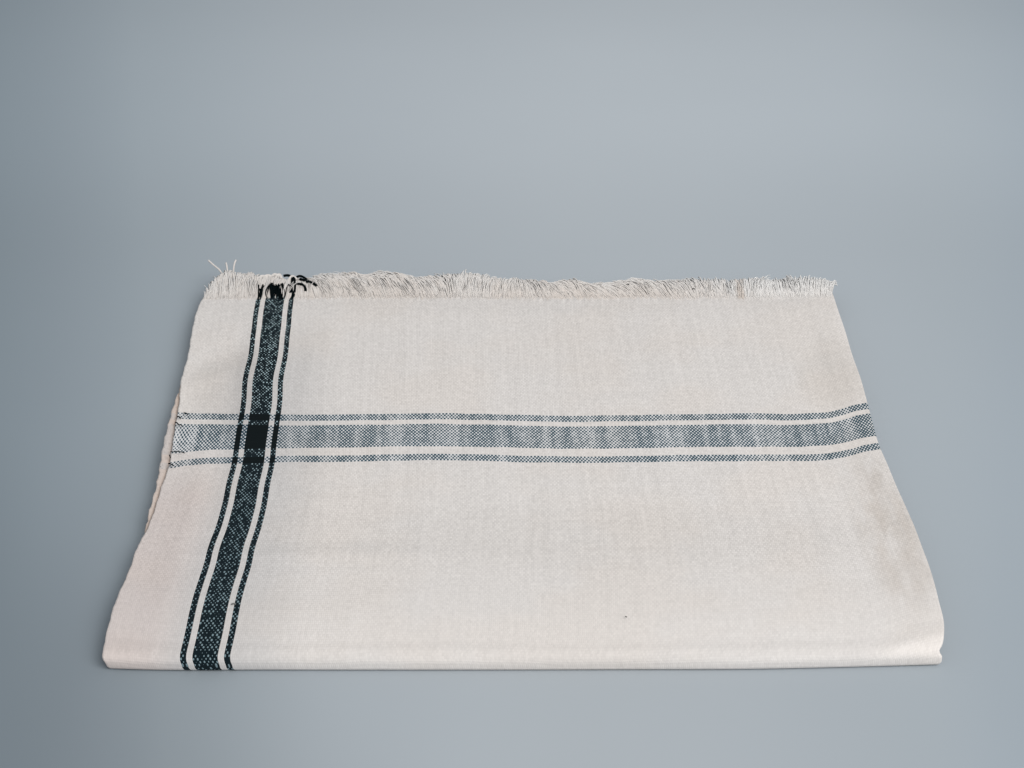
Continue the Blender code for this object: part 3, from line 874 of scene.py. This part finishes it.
# Rows of yarns: the cloth's end and layer that each leaves, yarns to an end, and their sizes
FRINGES = rows_of(
    ("name", "end", "layer", "each", "radius", "reach", "lift", "fall", "spread"),
    ("Fringe_first_outer", 0, 1, 4, 0.00042, 0.0158, 0.0034, 0.0004, 0.0006),
    ("Fringe_first_fluff", 0, 1, 4, 0.00024, 0.0150, 0.0039, 0.0004, 0.0022),
    ("Fringe_first_inner", 0, -1, 5, 0.00046, 0.0150, 0.0048, 0.0004, 0.0008),
    ("Fringe_second_inner", -1, -1, 3, 0.00042, 0.0140, 0.0030, 0.0010, 0.0006),
    ("Fringe_second_outer", -1, 1, 2, 0.00042, 0.0130, 0.0000, 0.0042, 0.0006),
)
DARK_REACH = 0.0090
DARK_LEAN = -0.0014
DARK_SHARE = 0.6
COVERED_DARK = (-0.172, -0.140)
COVERED_LENGTH = 1.15

# Neighbouring yarns share the lie of their tuft, and within it of their lock
TUFT_START = -40
TUFT_ENDS = (4, 10)
TUFT_LEAN = 0.0018
TUFT_REACH = (0.82, 1.16)
TUFT_LIFT = (-0.0003, 0.0008)
LOCK_ENDS = (2, 5)
LOCK_LEAN = 0.0003
LOCK_REACH = (0.90, 1.08)
LOCK_LIFT = (-0.0002, 0.0003)
LOCK_CURL = 0.0002
LOCK_BEND = (1.1, 2.0)
LOCK_TINT = (-0.10, 0.10)
LOCK_GATHER = 0.00008

# Where a yarn leaves the cloth, and how far it differs from its neighbours
ROOT_BACK = (0.0010, 0.0090)
ROOT_SUNK = 0.0002
ROOT_HIDDEN = 0.0006
YARN_UNEVEN = (-0.0003, 0.0003)
YARN_CURL = 0.0004
YARN_REACH = (0.82, 1.08)
YARN_BEND = (-0.2, 0.2)
YARN_FALL = (-0.0004, 0.0004)
YARN_TINT = 0.06
LIFT_GONE_AT = 0.014
LEAST_LIFT = 0.0006
LOWER_ROW_SHADE = 0.30
PALEST = 1.4
DARK_YARN_REACH = (0.80, 1.15)
DARK_YARN_LEAN = 0.0012

yarn_look = bpy.data.materials.new("Loose cotton yarn")
yarn_look.use_nodes = True
nodes = yarn_look.node_tree.nodes
links = yarn_look.node_tree.links
shader = nodes["Principled BSDF"]
place = added("ShaderNodeTexCoord", {}, "Object")
fibres = added("ShaderNodeTexNoise", {"Vector": place, "Scale": 900.0, "Detail": 2.0})
paleness = reckoned("MULTIPLY", carried("tint"), 0.5)
paleness = reckoned("MULTIPLY_ADD", carried("part"), 0.6, paleness)
cream_tone = mixed(paleness, YARN_PALE_ROOT, YARN_PALE_TIP)
tone = mixed(carried("dark"), cream_tone, DARK_WARP_YARN)
furry = scaled(tone, reckoned("ADD", swing(fibres, 0.10), 1.0))
links.new(furry, shader.inputs["Base Color"])
shader.inputs["Roughness"].default_value = 1.0
shader.inputs["Specular IOR Level"].default_value = 0.06
shader.inputs["Sheen Weight"].default_value = 0.03
shader.inputs["Sheen Roughness"].default_value = 0.5
# Loose fibres stand out all round a yarn, so it takes the light almost as a flat nap does
own_side = added("ShaderNodeNewGeometry", {}, "Normal")
napped = added("ShaderNodeMix", {0: NAP_SHARE, 4: own_side, 5: NAP_SIDE}, 1, data_type="VECTOR")
even_side = added("ShaderNodeVectorMath", {0: napped}, operation="NORMALIZE")
links.new(even_side, shader.inputs["Normal"])
through = added("ShaderNodeBsdfTranslucent", {"Color": furry})
soft_yarn = added("ShaderNodeMixShader", {0: LIGHT_THROUGH, 1: shader.outputs[0], 2: through})
links.new(soft_yarn, nodes["Material Output"].inputs["Surface"])

# The node tree that draws each yarn from its root, with the yarn's own lean and length
yarn_tree = bpy.data.node_groups.new("Yarns from their roots", "GeometryNodeTree")
yarn_tree.interface.new_socket("Roots", in_out="INPUT", socket_type="NodeSocketGeometry")
for title, usual in (("Yarn radius", 0.00042), ("Tip share", 0.85)):
    socket = yarn_tree.interface.new_socket(title, in_out="INPUT", socket_type="NodeSocketFloat")
    socket.default_value = usual
socket = yarn_tree.interface.new_socket("Points", in_out="INPUT", socket_type="NodeSocketInt")
socket.default_value = YARN_POINTS
yarn_tree.interface.new_socket("Material", in_out="INPUT", socket_type="NodeSocketMaterial")
yarn_tree.interface.new_socket("Yarns", in_out="OUTPUT", socket_type="NodeSocketGeometry")
nodes = yarn_tree.nodes
links = yarn_tree.links
given = nodes.new("NodeGroupInput").outputs
result = nodes.new("NodeGroupOutput")
line = added("GeometryNodeCurvePrimitiveLine", {})
spaced = added("GeometryNodeResampleCurve", {"Curve": line, "Count": given["Points"]})
planted = added("GeometryNodeInstanceOnPoints", {"Points": given["Roots"], "Instance": spaced})
real = added("GeometryNodeRealizeInstances", {0: planted})


def own(name, kind="FLOAT"):
    """A value that each root carries."""
    return added("GeometryNodeInputNamedAttribute", {"Name": name}, "Attribute", data_type=kind)


part_way = added("GeometryNodeSplineParameter", {}, "Factor")
still_to_go = reckoned("SUBTRACT", 1.0, part_way)
leaning = reckoned("POWER", part_way, 1.25)
wave = reckoned("SINE", reckoned("MULTIPLY", part_way, math.pi * 1.6))
arch = reckoned("POWER", reckoned("SINE", reckoned("MULTIPLY", part_way, math.pi * 0.70)), 1.5)
place_x = reckoned("MULTIPLY", own("lean"), leaning)
place_x = reckoned("ADD", place_x, reckoned("MULTIPLY", own("curl"), wave))
reached = reckoned("SUBTRACT", 1.0, reckoned("POWER", still_to_go, own("bend")))
place_y = reckoned("MULTIPLY", own("reach"), reached)
place_z = reckoned("MULTIPLY", own("lift"), arch)
fallen = reckoned("MULTIPLY", own("fall"), reckoned("POWER", part_way, 2.5))
place_z = reckoned("SUBTRACT", place_z, fallen)
offset = added("ShaderNodeCombineXYZ", {0: place_x, 1: place_y, 2: place_z})
places = {0: own("root", "FLOAT_VECTOR"), 1: offset}
whole_place = added("ShaderNodeVectorMath", places, operation="ADD")
to_store = {"Name": "part", "Geometry": real, "Value": part_way}
marked = added("GeometryNodeStoreNamedAttribute", to_store, data_type="FLOAT", domain="POINT")
laid = added("GeometryNodeSetPosition", {"Geometry": marked, "Position": whole_place})
near_tip = reckoned("POWER", part_way, 6.0)
narrowing = {"Value": near_tip, "To Min": 1.0, "To Max": given["Tip share"]}
rising = reckoned("MINIMUM", reckoned("MULTIPLY_ADD", part_way, 3.0, 0.35), 1.0)
girth = reckoned("MULTIPLY", added("ShaderNodeMapRange", narrowing), rising)
ring_sizes = {"Resolution": YARN_SIDES, "Radius": given["Yarn radius"]}
ring = added("GeometryNodeCurvePrimitiveCircle", ring_sizes)
swept = {"Curve": laid, "Profile Curve": ring, "Scale": girth, "Fill Caps": True}
drawn = added("GeometryNodeCurveToMesh", swept)
smooth = added("GeometryNodeSetShadeSmooth", {"Geometry": drawn})
coloured = {"Geometry": smooth, "Material": given["Material"]}
links.new(added("GeometryNodeSetMaterial", coloured), result.inputs[0])

chance = random.Random(YARN_SEED)
for fringe_row in FRINGES:
    station = stations[fringe_row["end"]]
    row_fold_x = fold_x[fringe_row["end"]]
    left = (left_outer if fringe_row["layer"] == 1 else left_inner)[fringe_row["end"]]
    on_top = fringe_row["end"] == 0 and fringe_row["layer"] == 1
    fluff = fringe_row["name"] == "Fringe_first_fluff"
    per_end = fringe_row["each"]
    count = per_end * round(HALF_WIDTH / END)
    names = ("lean", "curl", "reach", "bend", "lift", "fall", "tint", "dark")
    values = {name: [] for name in names}
    roots = []
    tufts = [(TUFT_START, 0.0, 1.0, 0.0)]
    while tufts[-1][0] < count:
        further = tufts[-1][0] + per_end * chance.randint(*TUFT_ENDS)
        tuft_lean = chance.gauss(0.0, TUFT_LEAN)
        tuft_reach = chance.uniform(*TUFT_REACH)
        tufts.append((further, tuft_lean, tuft_reach, chance.uniform(*TUFT_LIFT)))
    tufts = np.array(tufts)
    left_in_lock = 0
    for number in range(count):
        tuft_lean, tuft_reach, tuft_lift = (
            np.interp(number, tufts[:, 0], tufts[:, column]) for column in (1, 2, 3)
        )
        if left_in_lock == 0:
            lock_size = per_end * chance.randint(*LOCK_ENDS)
            left_in_lock = lock_size
            lock_lean = chance.gauss(0.0, LOCK_LEAN)
            lock_reach = chance.uniform(*LOCK_REACH)
            lock_lift = chance.uniform(*LOCK_LIFT)
            lock_curl = chance.gauss(0.0, LOCK_CURL)
            lock_bend = chance.uniform(*LOCK_BEND)
            lock_tint = chance.uniform(*LOCK_TINT)
        in_lock = lock_size / 2 - left_in_lock + 0.5
        left_in_lock -= 1
        x = left + (number + 0.5) / count * (row_fold_x - left)
        back = chance.uniform(*ROOT_BACK) if on_top else ROOT_HIDDEN
        y = station[1] - back
        z = station[2] + fringe_row["layer"] * PAIR_HALF * station[4]
        z = z + SHEET / 2 - ROOT_SUNK if on_top else z + chance.uniform(*YARN_UNEVEN)
        place = settled(np.array([x]), np.array([y]), np.array([z]))[0]
        roots.append((place[0], place[1], place[2]))
        lie = {
            name: float(reading(YARN_LIE, "x", name, np.array([x]))[0])
            for name in ("lean", "length", "lift", "pale")
        }
        its_end = ((number + 0.5) / count * HALF_WIDTH + WARP_DRIFT[0]["drift"]) / END
        dark_yarn = any(low - 0.5 <= its_end <= high + 0.5 for low, high in DARK_ENDS)
        if fluff and dark_yarn:
            roots.pop()
            continue
        dark_yarn = dark_yarn and chance.random() < DARK_SHARE
        covered = COVERED_DARK[0] < x < COVERED_DARK[1]
        if fringe_row["end"] == 0 and not on_top:
            dark_yarn = False
            lie["length"] = COVERED_LENGTH if covered else lie["length"]
        reach = lie["length"] * fringe_row["reach"] * lock_reach * tuft_reach
        lean = lie["lean"] + lock_lean + tuft_lean
        if dark_yarn and on_top:
            reach = DARK_REACH * chance.uniform(*DARK_YARN_REACH)
            lean = DARK_LEAN + chance.gauss(0.0, DARK_YARN_LEAN)
        gather = in_lock * LOCK_GATHER / per_end if on_top else 0.0
        values["lean"].append(lean - gather + chance.gauss(0.0, fringe_row["spread"]))
        values["curl"].append(lock_curl + chance.gauss(0.0, YARN_CURL))
        values["reach"].append(back + reach * chance.uniform(*YARN_REACH))
        values["bend"].append(lock_bend + chance.uniform(*YARN_BEND))
        lift = fringe_row["lift"] * lie["lift"] + lock_lift + tuft_lift
        lift += chance.uniform(*YARN_UNEVEN)
        values["lift"].append(max(lift * (1 - back / LIFT_GONE_AT), LEAST_LIFT) if on_top else lift)
        values["fall"].append(fringe_row["fall"] + chance.uniform(*YARN_FALL))
        pale = lie["pale"] + lock_tint + chance.gauss(0.0, YARN_TINT)
        # Painted shade: yarns of the lower rows, seen in the gaps between those on top, are given a duller,
        # warmer tone
        pale -= 0.0 if on_top else LOWER_ROW_SHADE
        values["tint"].append(min(PALEST, max(0.0, pale)))
        values["dark"].append(1.0 if dark_yarn else 0.0)
    root_mesh = bpy.data.meshes.new(fringe_row["name"])
    root_mesh.from_pydata(roots, [], [])
    stored = root_mesh.attributes.new("root", "FLOAT_VECTOR", "POINT")
    stored.data.foreach_set("vector", np.array(roots).reshape(-1))
    for name, numbers in values.items():
        stored = root_mesh.attributes.new(name, "FLOAT", "POINT")
        stored.data.foreach_set("value", numbers)
    fringe = placed(fringe_row["name"], root_mesh)
    yarns = fringe.modifiers.new("Yarns", "NODES")
    yarns.node_group = yarn_tree
    for item in yarn_tree.interface.items_tree:
        if item.name == "Material":
            yarns[item.identifier] = yarn_look
        elif item.name == "Yarn radius":
            yarns[item.identifier] = fringe_row["radius"]
    graph = bpy.context.evaluated_depsgraph_get()
    drawn_mesh = bpy.data.meshes.new_from_object(fringe.evaluated_get(graph))
    fringe.modifiers.clear()
    fringe.data = drawn_mesh
    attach(fringe, "root")
    node = "fringe_first_end" if fringe_row["end"] == 0 else "fringe_second_end"
    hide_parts(node)


# Loose threads
# Single cotton yarns that have slipped out at the back left corner and from the dark stripes,
# the small floats of dark weft that turn at the left selvedge, and four flecks of cotton seed.
# Each thread: its radius, and the points that it passes
PALE_THREADS = [
    (0.00062, [
        (-0.1900, 0.1700, 0.0150), (-0.1944, 0.1800, 0.0172), (-0.1985, 0.1834, 0.0182),
        (-0.2036, 0.1903, 0.0186),
    ]),
    (0.00058, [(-0.1890, 0.1720, 0.0152), (-0.1903, 0.1826, 0.0174), (-0.1919, 0.1879, 0.0182)]),
    (0.00058, [(-0.1850, 0.1720, 0.0152), (-0.1874, 0.1850, 0.0178), (-0.1855, 0.1892, 0.0196)]),
    (0.00100, [
        (-0.1690, 0.1660, 0.0140), (-0.1693, 0.1690, 0.0168), (-0.1667, 0.1722, 0.0184),
        (-0.1629, 0.1719, 0.0168),
    ]),
    (0.00100, [
        (-0.1668, 0.1670, 0.0140), (-0.1660, 0.1710, 0.0166), (-0.1630, 0.1740, 0.0178),
        (-0.1600, 0.1720, 0.0166),
    ]),
    (0.00100, [
        (-0.1620, 0.1680, 0.0140), (-0.1612, 0.1730, 0.0166), (-0.1582, 0.1752, 0.0178),
        (-0.1556, 0.1722, 0.0166),
    ]),
    (0.00100, [
        (-0.1588, 0.1690, 0.0140), (-0.1580, 0.1740, 0.0168), (-0.1552, 0.1745, 0.0178),
        (-0.1540, 0.1700, 0.0164),
    ]),
    (0.00095, [
        (-0.1500, 0.1640, 0.0146), (-0.1492, 0.1690, 0.0170), (-0.1470, 0.1725, 0.0182),
        (-0.1440, 0.1690, 0.0168),
    ]),
]
DARK_THREADS = [
    (0.00085, [
        (-0.1470, 0.1560, 0.0148), (-0.1463, 0.1690, 0.0170), (-0.1497, 0.1745, 0.0174),
        (-0.1532, 0.1736, 0.0168),
    ]),
    (0.00080, [
        (-0.1480, 0.1570, 0.0148), (-0.1460, 0.1700, 0.0172), (-0.1412, 0.1740, 0.0176),
        (-0.1362, 0.1672, 0.0162),
    ]),
    (0.00095, [
        (-0.1420, 0.1690, 0.0172), (-0.1378, 0.1655, 0.0174), (-0.1340, 0.1652, 0.0172),
        (-0.1306, 0.1619, 0.0160),
    ]),
    (0.00085, [
        (-0.1463, 0.1640, 0.0160), (-0.1416, 0.1640, 0.0170), (-0.1378, 0.1612, 0.0164),
        (-0.1374, 0.1570, 0.0154),
    ]),
    (0.00070, [(-0.1445, 0.1560, 0.0148), (-0.1440, 0.1640, 0.0170), (-0.1462, 0.1700, 0.0178)]),
    (0.00034, [(-0.1944, 0.0220, 0.0146), (-0.1932, 0.0216, 0.0156), (-0.1918, 0.0209, 0.0146)]),
    (0.00036, [(-0.1976, 0.0190, 0.0142), (-0.1964, 0.0182, 0.0156), (-0.1951, 0.0167, 0.0146)]),
    (0.00038, [(-0.1978, 0.0134, 0.0142), (-0.1968, 0.0122, 0.0156), (-0.1954, 0.0104, 0.0146)]),
    (0.00032, [(-0.1950, 0.0106, 0.0146), (-0.1942, 0.0100, 0.0155), (-0.1932, 0.0090, 0.0146)]),
    (0.00026, [
        (-0.1960, -0.0152, 0.0144), (-0.1936, -0.0170, 0.0155), (-0.1910, -0.0156, 0.0152),
        (-0.1878, -0.0167, 0.0146),
    ]),
    (0.00026, [(-0.1962, -0.0182, 0.0143), (-0.1958, -0.0198, 0.0154), (-0.1949, -0.0214, 0.0146)]),
    (0.00036, [(-0.1954, -0.0262, 0.0143), (-0.1940, -0.0274, 0.0156), (-0.1922, -0.0288, 0.0146)]),
]
SEED_FLECKS = [
    (0.00036, [(-0.1453, -0.1436, 0.0142), (-0.1444, -0.1433, 0.0152), (-0.1433, -0.1434, 0.0142)]),
    (0.00030, [(0.0498, -0.1531, 0.0146), (0.0501, -0.1533, 0.0152), (0.0504, -0.1536, 0.0146)]),
    (0.00030, [(0.0674, 0.1640, 0.0160), (0.0682, 0.1638, 0.0170), (0.0690, 0.1635, 0.0160)]),
    (0.00030, [(0.1092, 0.1592, 0.0158), (0.1100, 0.1589, 0.0168), (0.1108, 0.1586, 0.0158)]),
]
for name, dark_share, paths in (
    ("Loose_threads_pale", 0.0, PALE_THREADS),
    ("Loose_threads_dark", 1.0, DARK_THREADS),
    ("Seed_flecks", 0.72, SEED_FLECKS),
):
    spun = bpy.data.curves.new(name, "CURVE")
    spun.dimensions = "3D"
    spun.bevel_depth = 1.0
    spun.bevel_resolution = 1
    spun.resolution_u = 5
    spun.use_fill_caps = True
    for radius, points in paths:
        thread = spun.splines.new("NURBS")
        thread.points.add(len(points) - 1)
        for bead, point in zip(thread.points, points):
            bead.co = (*point, 1.0)
            bead.radius = radius
        thread.order_u = 3
        thread.use_endpoint_u = True
    spun_threads = placed(name + "_spun", spun)
    graph = bpy.context.evaluated_depsgraph_get()
    thread_mesh = bpy.data.meshes.new_from_object(spun_threads.evaluated_get(graph))
    bpy.data.objects.remove(spun_threads)
    threads = placed(name, thread_mesh)
    thread_mesh.materials.clear()
    thread_mesh.materials.append(yarn_look)
    thread_mesh.shade_smooth()
    for attribute, amount in (("dark", dark_share), ("tint", 0.6), ("part", 0.4)):
        stored = thread_mesh.attributes.new(attribute, "FLOAT", "POINT")
        stored.data.foreach_set("value", [amount] * len(thread_mesh.vertices))
    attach(threads, "root")


# Light and camera
# One broad soft lamp from the front right and above, and an even pale surround.
# The camera stands in front and looks down at the towel, as in the photograph.
LAMP_PLACE = (1.42, -1.84, 2.52)
LAMP_WIDTH = 2.5
LAMP_HEIGHT = 2.2
LAMP_POWER = 113.0
LAMP_COLOUR = (1.0, 0.985, 0.965)
SURROUND_COLOUR = (0.93, 0.965, 1.0, 1.0)
SURROUND_STRENGTH = 0.50
CAMERA_PLACE = (-0.006, -0.814, 0.5966)
CAMERA_PITCH = math.radians(33.9)
LENS_MM = 62.4
SENSOR_MM = 36.0

lamp_data = bpy.data.lights.new("Soft window", "AREA")
lamp_data.shape = "RECTANGLE"
lamp_data.size = LAMP_WIDTH
lamp_data.size_y = LAMP_HEIGHT
lamp_data.energy = LAMP_POWER
lamp_data.color = LAMP_COLOUR
lamp = placed("Soft window", lamp_data)
lamp.location = LAMP_PLACE
aim = math.atan2(math.hypot(lamp.location[0], lamp.location[1]), lamp.location[2])
lamp.rotation_euler = (aim, 0.0, math.atan2(lamp.location[1], lamp.location[0]) + math.pi / 2)
surround = bpy.data.worlds.new("Pale surround")
surround.use_nodes = True
sky = surround.node_tree.nodes["Background"]
sky.inputs["Color"].default_value = SURROUND_COLOUR
sky.inputs["Strength"].default_value = SURROUND_STRENGTH
bpy.context.scene.world = surround
bpy.context.scene.view_settings.view_transform = "Standard"

camera_data = bpy.data.cameras.new("Camera")
camera_data.lens = LENS_MM
camera_data.sensor_width = SENSOR_MM
camera = placed("Camera", camera_data)
camera.location = CAMERA_PLACE
camera.rotation_euler = (math.pi / 2 - CAMERA_PITCH, 0.0, 0.0)
bpy.context.scene.camera = camera
